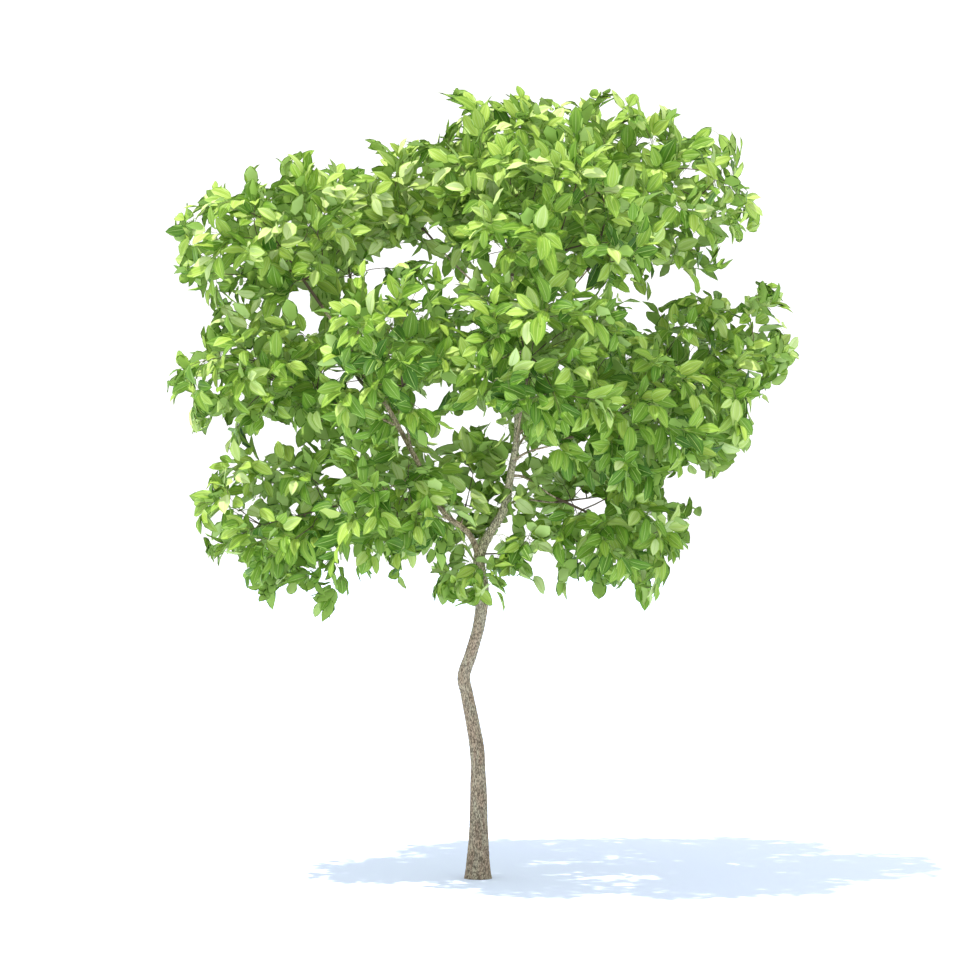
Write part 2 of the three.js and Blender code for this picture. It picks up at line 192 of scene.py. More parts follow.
# Masses of foliage, as in the solids: middle, half-sizes, the limb that carries each, and the height
# where its own bough leaves that limb. One without a height is carried by the limb's tip.
MASSES = {
    "low_left": ((-0.765, -0.05, 1.35), (0.355, 0.33, 0.395), "left", 1.5),
    "low_front": ((-0.34, -0.33, 1.41), (0.3, 0.28, 0.29), "left", 1.355),
    "low_right": ((0.575, 0, 1.31), (0.345, 0.31, 0.31), "right", 1.519),
    "low_back_left": ((-0.34, 0.45, 1.43), (0.27, 0.29, 0.23), "left", 1.44),
    "low_back_right": ((0.47, 0.47, 1.44), (0.29, 0.3, 0.23), "right", 1.4),
    "fork_left": ((-0.055, -0.09, 1.135), (0.165, 0.14, 0.13), "stem", 1.185),
    "fork_right": ((0.17, -0.03, 1.215), (0.16, 0.14, 0.14), "stem", 1.225),
    "inner": ((-0.025, 0.07, 1.51), (0.14, 0.15, 0.23), "left", 1.33),
    "mid_left": ((-0.83, -0.05, 1.905), (0.425, 0.37, 0.31), "left", 1.7),
    "mid_front_left": ((-0.29, -0.56, 1.96), (0.31, 0.32, 0.35), "left", 1.6),
    "mid_front": ((0.195, -0.6, 1.99), (0.4, 0.34, 0.37), "right", 1.64),
    "mid_right_front": ((0.53, -0.33, 1.75), (0.37, 0.34, 0.33), "right", 1.57),
    "mid_right": ((0.89, 0, 1.89), (0.375, 0.37, 0.475), "right", 1.674),
    "mid_back_left": ((-0.525, 0.54, 1.962), (0.39, 0.365, 0.325), "left", 1.76),
    "mid_back_right": ((0.46, 0.6, 1.924), (0.365, 0.365, 0.345), "right", 1.61),
    "mid_back": ((-0.032, 0.72, 2.019), (0.345, 0.295, 0.26), "right", 1.76),
    "top_left": ((-0.78, -0.05, 2.435), (0.495, 0.39, 0.325), "left", None),
    "top_left_centre": ((-0.297, 0.06, 2.568), (0.215, 0.32, 0.3), "right", 2.05),
    "top_centre": ((0.119, -0.15, 2.644), (0.345, 0.365, 0.41), "right", None),
    "top_right": ((0.655, -0.08, 2.61), (0.52, 0.43, 0.39), "right", 1.95),
    "top_front": ((0.31, -0.6, 2.44), (0.36, 0.33, 0.34), "right", 1.9),
    "top_back": ((0.233, 0.52, 2.568), (0.475, 0.375, 0.365), "right", 1.85),
    "top_back_left": ((-0.53, 0.5, 2.43), (0.37, 0.34, 0.3), "left", 1.9),
}
NAMES = list(MASSES)
MIDDLES = np.array([MASSES[name][0] for name in NAMES])
HALF_SIZES = np.array([MASSES[name][1] for name in NAMES])
WEIGHTS = np.cbrt(HALF_SIZES.prod(axis=1)) ** 2
TIP_MARGIN = 0.025
ENTRY_STEP = 0.005
ENTRY_STEPS = 400
LEAST_STEPS = 4
TINY = 1e-9


def in_space(name, places, margin, overlap=0.0):
    """Whether places are in a mass's own space: within its ellipsoid shrunk by the margin, and nearer
    to it than to each other mass, where nearness is the squared distance from the middle less the
    mass's weight. An overlap lets it reach that far over its neighbours' planes."""
    mass = NAMES.index(name)
    places = np.atleast_2d(places)
    reach = np.linalg.norm((places - MIDDLES[mass]) / (HALF_SIZES[mass] - margin), axis=1)
    near = ((places[:, None] - MIDDLES) ** 2).sum(axis=2) - WEIGHTS
    between = 2 * (margin - overlap) * np.linalg.norm(MIDDLES - MIDDLES[mass], axis=1)
    return (reach <= 1) & (near - near[:, [mass]] >= between - TINY).all(axis=1)


def unit(ways):
    """Ways of length one."""
    return ways / np.maximum(np.linalg.norm(ways, axis=-1, keepdims=True), TINY)


def through(points, shares):
    """Places on the smooth line through points, for shares from 0 to 1: between two points it is the
    cubic whose slopes at them follow from their neighbours, with the steps between points counted as
    the square roots of their distances."""
    points = np.array(points, float)
    points = np.vstack([2 * points[0] - points[1], points, 2 * points[-1] - points[-2]])
    at = np.asarray(shares) * (len(points) - 3)
    knot = np.minimum(at.astype(int), len(points) - 4)
    w = (at - knot)[:, None]
    a, b, c, d = (points[knot + k] for k in range(4))
    pairs = ((a, b), (b, c), (c, d))
    first, second, third = (np.sqrt(np.linalg.norm(q - p, axis=1))[:, None] for p, q in pairs)
    leave = ((b - a) / first - (c - a) / (first + second) + (c - b) / second) * second
    arrive = ((c - b) / second - (d - b) / (second + third) + (d - c) / third) * second
    square, cube = 3 * (c - b) - 2 * leave - arrive, 2 * (b - c) + leave + arrive
    return b + leave * w + square * w**2 + cube * w**3


def bezier(points, shares):
    """Places on a Bezier line: each pair of neighbouring points is blended at the share, and the blends
    again, until one is left."""
    line = [np.asarray(point, float) for point in points]
    t = np.asarray(shares)[:, None]
    while len(line) > 1:
        line = [(1 - t) * a + t * b for a, b in zip(line, line[1:])]
    return line[0]


def entry_of(name, foot):
    """Where a bough from that foot enters a mass: from the mass's middle towards the foot, the last
    place that is still in its space."""
    middle = np.array(MASSES[name][0])
    steps = np.arange(1, ENTRY_STEPS)[:, None] * ENTRY_STEP * unit(np.asarray(foot) - middle)
    inside = in_space(name, middle + steps, TIP_MARGIN)
    return middle + steps[int(np.argmin(inside)) - 1]


def even_line(line, spacing):
    """The same line at even steps of its length, and the length itself up to each place."""
    lengths = np.concatenate([[0], np.cumsum(np.linalg.norm(np.diff(line, axis=0), axis=1))])
    steps = np.linspace(0, lengths[-1], max(int(lengths[-1] / spacing), LEAST_STEPS))
    return np.stack([np.interp(steps, lengths, line[:, k]) for k in range(3)], axis=1), steps


def round_limb(line, radii, sides):
    """The surface of a limb as rings of corners: at each place on its line, a circle of that place's
    radii, square to the line. The circles start from the world direction that is most square to the
    limb, so that they don't turn about it."""
    along = unit(np.gradient(line, axis=0))
    start = np.eye(3)[int(np.argmin(np.abs(line[-1] - line[0])))]
    across = unit(start - along * (along @ start)[:, None])
    aside = np.cross(along, across)
    turn = 2 * np.pi * np.arange(sides) / sides
    out = across[:, None] * np.cos(turn)[:, None] + aside[:, None] * np.sin(turn)[:, None]
    return line[:, None] + out * radii[..., None]


def tube_faces(rings, sides):
    """The faces of a closed tube of rings: a quad from each side of a ring to the next ring, and at each
    end a strip of quads zipped across it. The number of sides is even."""
    ring, side = np.meshgrid(np.arange(rings - 1), np.arange(sides), indexing="ij")
    a = ring * sides + side
    b = ring * sides + (side + 1) % sides
    around = np.stack([a, b, b + sides, a + sides], axis=-1).reshape(-1, 4)
    k = np.arange(sides // 2 - 1)
    foot = np.stack([k, sides - 1 - k, sides - 2 - k, k + 1], axis=-1)
    return np.vstack([around, foot, foot[:, ::-1] + (rings - 1) * sides])


def fading(value, start, end):
    """From 0 at the start to 1 at the end by the smooth step 3x^2 - 2x^3."""
    x = np.clip((value - start) / (end - start), 0, 1)
    return x * x * (3 - 2 * x)


def surface_noise(along, around, cell_length, cells_round, seed):
    """Smooth random heights from 0 to 1 on a limb: random values at the corners of a grid of cells that
    closes round the limb, blended between corners by the smooth step both ways."""
    v, u = along / cell_length, around * cells_round
    j, i = np.floor(v).astype(int), np.floor(u).astype(int)
    values = np.random.default_rng(seed).random((int(j.max()) + 2, cells_round))
    up, over = fading(v - j, 0, 1), fading(u - i, 0, 1)
    left, right = i % cells_round, (i + 1) % cells_round
    low = values[j, left] * (1 - over) + values[j, right] * over
    high = values[j + 1, left] * (1 - over) + values[j + 1, right] * over
    return low * (1 - up) + high * up


# The bark's relief. A layer of cracks is a number of cells long and has a share of the full depth; its
# edges are two heights of its noise, and it sways. The limb is uneven, and the plates rise and fall.
BARK_CELL = 0.0030
BARK_DEPTH, YOUNG_DEPTH = 0.0015, 0.0006
CRACK_LAYERS = ((3.4, 0.75), (2.2, 0.85))
CRACK_EDGES = (0.64, 0.88)
CRACK_SWAY, SWAY_CELLS, SWAY_SEED = 0.8, 2.5, 5
UNEVEN_SHARE, UNEVEN_LENGTH, UNEVEN_CELLS, UNEVEN_SEED = 0.12, 0.07, 4, 12
PLATE_RISE, PLATE_CELLS, PLATE_SEED = 0.6, 3, 13
LEAST_CELLS = 5
# How dark a crack is painted where the bark is shallowest, as a share of where it is deepest: painted
# shade.
SHALLOW_SHADE = 0.35


def barked(line, radii, lengths, sides, cell, depth, seed):
    """A limb with bark. It is pitted where one of two smooth noises, drawn out along the limb, is high,
    which makes short upright cracks of two lengths; they are cut in by the depth. A slow noise makes
    the limb uneven by up to 6 % of its radius. Returns the corners and how dark each one's crack is
    painted: partly the bark's own dark there, and partly painted shade that is fainter where the bark is
    shallow."""
    along = lengths[:, None] + np.zeros(sides)
    around = np.zeros(len(lengths))[:, None] + np.arange(sides) / sides
    cells = max(int(round(2 * np.pi * radii[len(radii) // 4] / cell)), LEAST_CELLS)
    crack = np.zeros_like(along)
    for layer, (longer, weight) in enumerate(CRACK_LAYERS):
        sway = surface_noise(along, around, SWAY_CELLS * cell, cells, seed + SWAY_SEED + layer)
        swayed = along + CRACK_SWAY * cell * sway
        noise = surface_noise(swayed, around, longer * cell, cells, seed + layer)
        crack = np.maximum(crack, weight * fading(noise, *CRACK_EDGES))
    uneven = surface_noise(along, around, UNEVEN_LENGTH, UNEVEN_CELLS, seed + UNEVEN_SEED) - 0.5
    plates = surface_noise(along, around, PLATE_CELLS * cell, 2 * cells, seed + PLATE_SEED) - 0.5
    out = radii[:, None] * (1 + UNEVEN_SHARE * uneven) + depth[:, None] * (PLATE_RISE * plates - crack)
    # Painted shade in the cracks: fainter where the bark is shallow.
    shade = SHALLOW_SHADE + (1 - SHALLOW_SHADE) * depth / depth.max()
    return round_limb(line, out, sides), crack * shade[:, None]


def stem_radius(height):
    """The stem's radius: a plain one, and two that die away from the ground up as flare and foot."""
    flare = FLARE_RADIUS * np.exp(-height / FLARE_HEIGHT)
    return STEM_RADIUS + flare + FOOT_RADIUS * np.exp(-height / FOOT_HEIGHT)


CURVE_PLACES = 600
knots = np.linspace(0, 1, CURVE_PLACES)
right_line = through(RIGHT_LINE + [entry_of("top_centre", RIGHT_LINE[-1])], knots)
left_line = through(LEFT_LINE + [entry_of("top_left", LEFT_LINE[-1])], knots)
stem_line = through(STEM_LINE + [STEM_TOP], knots)
leader_line = through(STEM_LINE + RIGHT_LINE + [entry_of("top_centre", RIGHT_LINE[-1])], knots)

# The bark's pattern, drawn out along the limb: how wide in metres its specks and stains are, and where
# in their noise they begin. Then the heights where it turns to young bark, and gets paler.
PATTERN_UPRIGHT = 0.24
SPECK_PATTERN = {"Scale": 1 / 0.0025, "Detail": 1.0}
STAIN_PATTERN = {"Scale": 1 / 0.022, "Detail": 2.0}
SPECK_EDGES = {"From_Min": 0.48, "From_Max": 0.57, "To_Max": 0.80}
STAIN_EDGES = {"From_Min": 0.40, "From_Max": 0.62}
YOUNG_HEIGHTS = {"From_Min": 1.04, "From_Max": 1.24}
PALE_HEIGHTS = {"From_Max": 1.2, "To_Min": 0.80, "To_Max": 1.06}


def bark_finish(name, plate, stain, young, crack, roughness):
    """Bark: dry plates with brown stains 22 mm wide and 90 mm long, under dark specks 2.5 mm wide and
    10 mm long, and dark in the cracks by the piece's own attribute, which is partly the bark's own dark
    there and partly painted shade. With height it turns to the young bark's colour and gets paler."""
    material, tree, shader = new_material(name, Roughness=roughness, Specular_IOR_Level=0.2)
    place = add_node(tree, "ShaderNodeTexCoord").outputs["Object"]
    # The cracks' dark: partly the bark's own colour there, and partly painted shade.
    deep = add_node(tree, "ShaderNodeAttribute", {"attribute_name": "crack"}).outputs["Fac"]
    height = add_node(tree, "ShaderNodeSeparateXYZ", Vector=place).outputs[2]
    upright = add_node(tree, "ShaderNodeMapping", Vector=place, Scale=(1, 1, PATTERN_UPRIGHT)).outputs[0]
    specks = add_node(tree, "ShaderNodeTexNoise", Vector=upright, **SPECK_PATTERN).outputs[0]
    stains = add_node(tree, "ShaderNodeTexNoise", Vector=upright, **STAIN_PATTERN).outputs[0]
    speck = add_node(tree, "ShaderNodeMapRange", Value=specks, **SPECK_EDGES).outputs[0]
    patch = add_node(tree, "ShaderNodeMapRange", Value=stains, **STAIN_EDGES).outputs[0]
    high = add_node(tree, "ShaderNodeMapRange", Value=height, **YOUNG_HEIGHTS).outputs[0]
    pale = add_node(tree, "ShaderNodeMapRange", Value=height, **PALE_HEIGHTS).outputs[0]
    colours = {"data_type": "RGBA"}
    plate, stain, young, crack = (linear(colour) for colour in (plate, stain, young, crack))
    old = add_node(tree, "ShaderNodeMix", colours, _0=patch, _6=plate, _7=stain).outputs[2]
    dry = add_node(tree, "ShaderNodeMix", colours, _0=high, _6=old, _7=young).outputs[2]
    dark = add_node(tree, "ShaderNodeMath", {"operation": "MAXIMUM"}, _0=speck, _1=deep).outputs[0]
    rough = add_node(tree, "ShaderNodeMix", colours, _0=dark, _6=dry, _7=crack).outputs[2]
    final = add_node(tree, "ShaderNodeVectorMath", {"operation": "SCALE"}, _0=rough, Scale=pale)
    tree.links.new(final.outputs[0], shader.inputs["Base Color"])
    return material


def bark_piece(name, limbs, material, nodes):
    """One piece of limbs, each given as its corners and its cracks, in place of solids."""
    places, faces, cracks, count = [], [], [], 0
    for corners, crack in limbs:
        rings, sides = crack.shape
        places.append(corners.reshape(-1, 3))
        faces.append(tube_faces(rings, sides) + count)
        cracks.append(crack.ravel())
        count += rings * sides
    piece = make_mesh(name, np.vstack(places), np.vstack(faces), [material])
    attribute = piece.data.attributes.new("crack", "FLOAT", "POINT")
    attribute.data.foreach_set("value", np.concatenate(cracks).astype(np.float32))
    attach(piece, "root")
    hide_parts(*nodes)


STEM_STEP = 0.0030
STEM_SIDES = 112
STEM_SEED = 11
RIGHT_LENGTH = 1.02
BOUGH_TAKES_OVER = (1.20, 1.29)
CRACKS_THIN_OUT = (1.1, 1.7)

line, lengths = even_line(leader_line, STEM_STEP)
fork = np.argmax(line[:, 2] > RIGHT_LINE[0][2])
bough_share = np.clip((lengths - lengths[fork]) / RIGHT_LENGTH, 0, 1)
bough_radius = RIGHT_RADII[0] + (RIGHT_RADII[1] - RIGHT_RADII[0]) * bough_share
share = fading(line[:, 2], *BOUGH_TAKES_OVER)
radii = stem_radius(line[:, 2]) * (1 - share) + bough_radius * share
depth = BARK_DEPTH + (YOUNG_DEPTH - BARK_DEPTH) * fading(line[:, 2], *CRACKS_THIN_OUT)
corners, crack = barked(line, radii, lengths, STEM_SIDES, BARK_CELL, depth, STEM_SEED)
corners[..., 2] = np.maximum(corners[..., 2], 0)
corners[0, :, 2] = 0
# Old bark, split by growth into dry plates: grey and brown by turns, and nearly matt.
stem_bark = bark_finish("cracked_grey_bark", "#BAB299", "#B5A28A", "#E9DDBC", "#433A2F", 0.92)
bark_piece("stem_and_right_bough", [(corners, crack)], stem_bark, ["trunk", "right_bough"])

# The left bough and the side boughs: each leaves its limb with a collar, partly along it, bends over,
# and ends where it enters its mass. Their bark is younger, browner and only lightly cracked.
LEFT_SIDES = 40
LEFT_STEP = 0.0035
SIDE_SIDES = 18
SIDE_STEP = 0.006
SIDE_RADII = (0.0052, 0.0030)
SIDE_LEAN = 0.45
SIDE_BEND = 0.35
COLLAR = 0.45
COLLAR_LENGTH = 0.018
YOUNG_CELL = 0.009
LEFT_SEED = 31
SIDE_SEED, SIDE_SEED_STEP = 50, 7
LIMB_LINES = {"stem": stem_line, "left": left_line, "right": right_line}


def on_limb(limb, height):
    """Where a limb's line passes a height, and the way it runs there."""
    line = LIMB_LINES[limb]
    k = max(int(np.argmax(line[:, 2] > height)), 1)
    share = (height - line[k - 1, 2]) / (line[k, 2] - line[k - 1, 2])
    return line[k - 1] + share * (line[k] - line[k - 1]), unit(line[k] - line[k - 1])


def side_line(name):
    """A side bough's line: a cubic Bezier that leaves its limb between the way to its mass and the
    limb's own way, and comes into the mass towards the mass's middle."""
    middle, _, limb, height = MASSES[name]
    foot, along = on_limb(limb, height)
    end = entry_of(name, foot)
    reach = np.linalg.norm(end - foot)
    leave = unit((1 - SIDE_LEAN) * unit(end - foot) + SIDE_LEAN * along)
    into = unit(np.array(middle) - end)
    return bezier([foot, foot + SIDE_BEND * reach * leave, end - SIDE_BEND * reach * into, end], knots)


def young_limb(line, ends, sides, spacing, seed):
    """A lightly barked limb with a collar at its foot, where its radius is larger by a share that dies
    away along it."""
    line, lengths = even_line(line, spacing)
    share = lengths / lengths[-1]
    radii = (ends[0] + (ends[1] - ends[0]) * share) * (1 + COLLAR * np.exp(-lengths / COLLAR_LENGTH))
    return barked(line, radii, lengths, sides, YOUNG_CELL, np.full(len(line), YOUNG_DEPTH), seed)


side_lines = {name: side_line(name) for name in NAMES if MASSES[name][2] != "stem" and MASSES[name][3]}
# Young bark, stretched but not yet split: smoother and browner than the stem's, and a little less matt.
young_bark = bark_finish("smooth_brown_bark", "#BBA48D", "#AC8C77", "#D2BE9F", "#5C4B40", 0.85)
left_limb = young_limb(left_line, LEFT_RADII, LEFT_SIDES, LEFT_STEP, LEFT_SEED)
bark_piece("left_bough_bark", [left_limb], young_bark, ["left_bough"])
side_limbs = [
    young_limb(way, SIDE_RADII, SIDE_SIDES, SIDE_STEP, SIDE_SEED + SIDE_SEED_STEP * k)
    for k, way in enumerate(side_lines.values())
]
side_nodes = [name + "_bough" for name in side_lines]
bark_piece("side_boughs_bark", side_limbs, young_bark, side_nodes)

# Twigs: in each mass one stem goes on from its bough. Each new shoot reaches for the place farthest
# from the tips so far and springs from the wood that gives it the shortest way, as in the solids, but
# there are more of them, they bend, and they thicken with what they carry.
FIRST_SEED = 4001
SEED_STEP = 37
SHOOT_TOTAL = 1370
SHOOT_LEAST = 13
SHOOT_TRIES = 6
SHOOT_DARTS = 12
SHOOT_SHORTEST = 0.02
SHOOT_CLEAR = 0.008
SHOOT_BUDS = (0.35, 0.7, 1)
STEM_BUDS = (1 / 3, 2 / 3, 1)
SHOOT_LOOKS = np.linspace(0.15, 1, 8)
SHOOT_IN_SKY = 0.3
TIP_INSET = 0.03
WAY_COST = 0.35
SHOOT_BEND = 0.22
SHOOT_RISE = 0.07
STEM_PAST_MIDDLE = 0.15
SPRAY_RISE = 0.020
TWIG_RINGS = 7
TWIG_SIDES = 6
TWIG_RADIUS = 0.0011
TWIG_END = 0.0006
TWIG_GROWTH = 0.42
BEAD_SPACING = 0.012

# The gaps in the crown, where the sky shows through from the front, and the notches in its rim: the
# middle to the right and up, the two half-sizes and the slope in degrees, on the plane through the stem.
SKY_GAPS = np.array([
    (0.985, 2.295, 0.135, 0.076, 70), (0.715, 2.222, 0.138, 0.05, 31),
    (-0.165, 2.835, 0.125, 0.038, 33), (-0.972, 1.68, 0.078, 0.042, 110),
    (-0.285, 2.355, 0.13, 0.038, 5), (-0.395, 2.262, 0.07, 0.026, 80),
    (-0.155, 2.437, 0.068, 0.022, 153), (-0.02, 1.75, 0.055, 0.05, 80),
    (-0.112, 1.7, 0.03, 0.018, 150), (0.775, 1.5, 0.11, 0.055, 22), (-0.75, 1.7, 0.082, 0.03, 160),
    (-0.219, 1.16, 0.086, 0.05, 144), (-0.461, 2.73, 0.105, 0.036, 165),
    (-0.27, 2.815, 0.11, 0.036, 12), (-0.49, 1.165, 0.04, 0.026, 134),
    (-0.7, 1.058, 0.072, 0.064, 127), (0.14, 1.11, 0.06, 0.036, 25), (0.5, 2.9, 0.055, 0.03, 21),
    (-1.06, 2.175, 0.07, 0.034, 127), (0.243, 1.18, 0.062, 0.042, 130),
    (-0.788, 2.662, 0.06, 0.04, 161), (-0.663, 2.192, 0.048, 0.024, 2),
    (-0.915, 2.609, 0.062, 0.03, 57), (-0.06, 0.965, 0.2, 0.098, 0), (-0.621, 2.093, 0.064, 0.036, 61),
    (0.093, 1.31, 0.07, 0.028, 51), (-1.107, 1.806, 0.04, 0.03, 96), (-1.086, 2.011, 0.045, 0.037, 56),
    (0.2, 2.975, 0.075, 0.036, 170), (-1.145, 2.378, 0.045, 0.035, 109),
    (-0.931, 1.193, 0.06, 0.026, 159), (0.558, 1.103, 0.04, 0.031, 99),
    (-0.173, 1.835, 0.048, 0.034, 36), (1.146, 2.132, 0.04, 0.031, 101),
    (1.047, 1.78, 0.043, 0.037, 102), (0.071, 1.691, 0.054, 0.023, 69),
    (0.391, 1.095, 0.06, 0.035, 169), (0.64, 2.93, 0.05, 0.04, 90), (0.6, 2.098, 0.075, 0.028, 118),
    (0.051, 1.049, 0.045, 0.026, 90), (-0.545, 1.53, 0.032, 0.029, 50),
    (0.79, 2.85, 0.075, 0.045, 124), (0.239, 1.63, 0.026, 0.02, 170), (0.415, 1.416, 0.08, 0.026, 176),
    (-0.355, 1.17, 0.035, 0.025, 62), (-0.475, 2.275, 0.04, 0.02, 10), (1.014, 2.64, 0.055, 0.02, 140),
    (-0.33, 1.03, 0.15, 0.11, 0), (-0.205, 1.07, 0.05, 0.05, 0), (0.2, 1.09, 0.085, 0.055, 0),
    (0.5, 1.01, 0.09, 0.07, 0), (0.03, 2.99, 0.085, 0.07, 0), (0.375, 2.99, 0.085, 0.065, 0),
    (0.06, 2.37, 0.045, 0.024, 90), (0.035, 1.745, 0.055, 0.036, 20), (-0.13, 1.37, 0.05, 0.018, 150),
    (-0.06, 1.45, 0.018, 0.034, 0), (-0.545, 1.905, 0.05, 0.02, 155),
    (-0.465, 1.865, 0.04, 0.016, 170), (0.865, 2.235, 0.045, 0.028, 20),
    (-0.215, 1.8, 0.05, 0.024, 140), (-0.11, 1.74, 0.045, 0.024, 0),
])

# The crown's outline from the front: a height, and how far it reaches to the left and right there.
OUTLINE_EDGES = np.array([
    (0.97, -0.66, 0.05), (1.01, -0.76, 0.62), (1.06, -0.83, 0.66), (1.12, -0.88, 0.73),
    (1.2, -1.01, 0.76), (1.27, -1.09, 0.82), (1.45, -1.1, 0.84), (1.52, -1.04, 0.91), (1.61, -0.98, 1),
    (1.72, -1.11, 1.07), (1.82, -1.17, 1.1), (1.88, -1.2, 1.15), (1.95, -1.18, 1.22),
    (2.02, -1.13, 1.22), (2.11, -1.05, 1.17), (2.16, -1.02, 1.19), (2.22, -1.12, 1.17),
    (2.32, -1.18, 1.08), (2.37, -1.17, 0.98), (2.46, -1.18, 1.08), (2.55, -1.1, 1.09),
    (2.62, -1.02, 1.02), (2.72, -0.79, 1.01), (2.78, -0.62, 1), (2.82, -0.38, 0.98),
    (2.86, -0.18, 0.8), (2.91, -0.12, 0.76), (2.96, -0.17, 0.63), (3.01, -0.06, 0.25),
])


def seen_at(places):
    """Places carried along the line of sight to the plane through the stem: aside and height there."""
    nearer = VIEW_DISTANCE / (VIEW_DISTANCE + places[..., 1])
    aside = VIEW_ASIDE + (places[..., 0] - VIEW_ASIDE) * nearer
    return aside, VIEW_HEIGHT + (places[..., 2] - VIEW_HEIGHT) * nearer


def in_sky(places, gap_size=1.0, inset=0.0):
    """Whether places are seen in a gap, as an ellipse at its slope that is drawn to the size's share,
    or outside the crown's outline after that is set in."""
    aside, height = seen_at(places)
    right, up, half_long, half_short, slope = SKY_GAPS.T
    x, z, slope = aside[..., None] - right, height[..., None] - up, np.radians(slope)
    long, short = x * np.cos(slope) + z * np.sin(slope), z * np.cos(slope) - x * np.sin(slope)
    gap = np.hypot(long / half_long, short / half_short).min(axis=-1) < gap_size
    left, right = (np.interp(height, OUTLINE_EDGES[:, 0], OUTLINE_EDGES[:, k]) for k in (1, 2))
    beyond = (height > OUTLINE_EDGES[-1, 0] - inset) | (height < OUTLINE_EDGES[0, 0])
    return gap | (aside < left + inset) | (aside > right - inset) | beyond


def seeded(seed):
    """Numbers from 0 to 1 that are the same for the same seed: each state is the last one times 48271,
    less the multiples of 2147483647."""
    state = seed
    while True:
        state = state * 48271 % 2147483647
        yield state / 2147483647


carriers = [(stem_line, None), (right_line, RIGHT_RADII), (left_line, LEFT_RADII)]
carriers += [(way, SIDE_RADII) for way in side_lines.values()]
beads = []
for limb, ends in carriers:
    bead, lengths = even_line(limb, BEAD_SPACING)
    if ends is None:
        size = stem_radius(bead[:, 2])
    else:
        size = np.interp(lengths / lengths[-1], (0, 1), ends)
    beads.append(np.column_stack([bead, size]))
beads = np.vstack(beads)


def clear_of_limbs(places, margin):
    """Whether places are farther than the margin from every limb's surface."""
    places = np.atleast_2d(places)
    away = np.linalg.norm(places[:, None] - beads[:, :3], axis=2) - beads[:, 3]
    return (away > margin).all(axis=1)


# Stretches of the limbs that are seen bare from the front: the limb, and the heights between.
BARE_STRETCHES = [
    ("left", 1.57, 1.78), ("left", 1.27, 1.37), ("right", 1.24, 1.41), ("right", 1.52, 1.74),
]
BARE_MARGIN = 0.004


def hides_limb(places):
    """Whether places are in front of a bare stretch, within its radius and the margin as seen."""
    aside, height = seen_at(places)
    hides = np.zeros(places.shape[:-1], bool)
    for limb, low, high in BARE_STRETCHES:
        line = LIMB_LINES[limb]
        line = line[(line[:, 2] > low) & (line[:, 2] < high)][::2]
        radius = (RIGHT_RADII if limb == "right" else LEFT_RADII)[0]
        x, z = seen_at(line)
        away = np.hypot(aside[..., None] - x, height[..., None] - z)
        front = places[..., 1, None] < line[:, 1]
        hides |= ((away < radius + BARE_MARGIN) & front).any(axis=-1)
    return hides


def mass_stem(name):
    """The line of a mass's stem: it goes on from its bough's tip, or starts inside the trunk, and bends
    over to a place a little past the mass's middle."""
    middle, half_sizes, limb, height = MASSES[name]
    middle = np.array(middle)
    if limb == "stem":
        start = on_limb(limb, height)[0]
        along = middle - start
        along[2] = SPRAY_RISE
    else:
        carrier = side_lines[name] if height else LIMB_LINES[limb]
        start, along = carrier[-1], carrier[-1] - carrier[-2]
    along = unit(along)
    bend = start + along * np.linalg.norm(middle - start) / 2
    return [start, bend, middle + along * STEM_PAST_MIDDLE * half_sizes[0]]


def grow_twigs(name):
    """The mass's shoots as Bezier lines, with the number of the shoot that each springs from and the
    share of that shoot's way. The first shoot is the stem."""
    mass = NAMES.index(name)
    draw = seeded(FIRST_SEED + SEED_STEP * mass)
    count = max(round(SHOOT_TOTAL * WEIGHTS[mass] / WEIGHTS.sum()), SHOOT_LEAST)
    stem = mass_stem(name)
    shoots, roots = [stem], [(-1, 0.0)]
    tips = [stem[2]]
    wood, ways, springs = [], [], []
    for share, spot in zip(STEM_BUDS, bezier(stem, STEM_BUDS)):
        wood.append(spot)
        ways.append(np.linalg.norm(spot - stem[0]))
        springs.append((0, share, unit(stem[2] - stem[1])))
    for _ in range(SHOOT_TRIES * count):
        darts = np.array([[2 * next(draw) - 1 for _ in range(3)] for _ in range(SHOOT_DARTS)])
        darts = darts[np.linalg.norm(darts, axis=1) <= 1]
        places = MIDDLES[mass] + darts * HALF_SIZES[mass]
        places = places[in_space(name, places, TIP_MARGIN) & clear_of_limbs(places, TIP_MARGIN)]
        places = places[~in_sky(places, inset=TIP_INSET)]
        if not len(places):
            continue
        apart = np.linalg.norm(places[:, None] - np.array(tips), axis=2).min(axis=1)
        tip = places[np.argmax(apart)]
        cost = np.linalg.norm(np.array(wood) - tip, axis=1) + WAY_COST * np.array(ways)
        bud = int(np.argmin(cost))
        reach = np.linalg.norm(wood[bud] - tip)
        if reach < SHOOT_SHORTEST:
            continue
        parent, share, heading = springs[bud]
        bend = (wood[bud] + tip) / 2 + reach * (SHOOT_BEND * heading + [0, 0, SHOOT_RISE])
        way = bezier([wood[bud], bend, tip], SHOOT_LOOKS)
        if not clear_of_limbs(way, SHOOT_CLEAR).all() or in_sky(way).mean() > SHOOT_IN_SKY:
            continue
        number = len(shoots)
        shoots.append([wood[bud], bend, tip])
        roots.append((parent, share))
        tips.append(tip)
        for along in SHOOT_BUDS:
            spot = bezier(shoots[-1], [along])[0]
            wood.append(spot)
            ways.append(ways[bud] + along * reach)
            heading = unit((1 - along) * (bend - shoots[-1][0]) + along * (tip - bend))
            springs.append((number, along, heading))
        if len(shoots) > count:
            break
    return np.array(shoots), roots


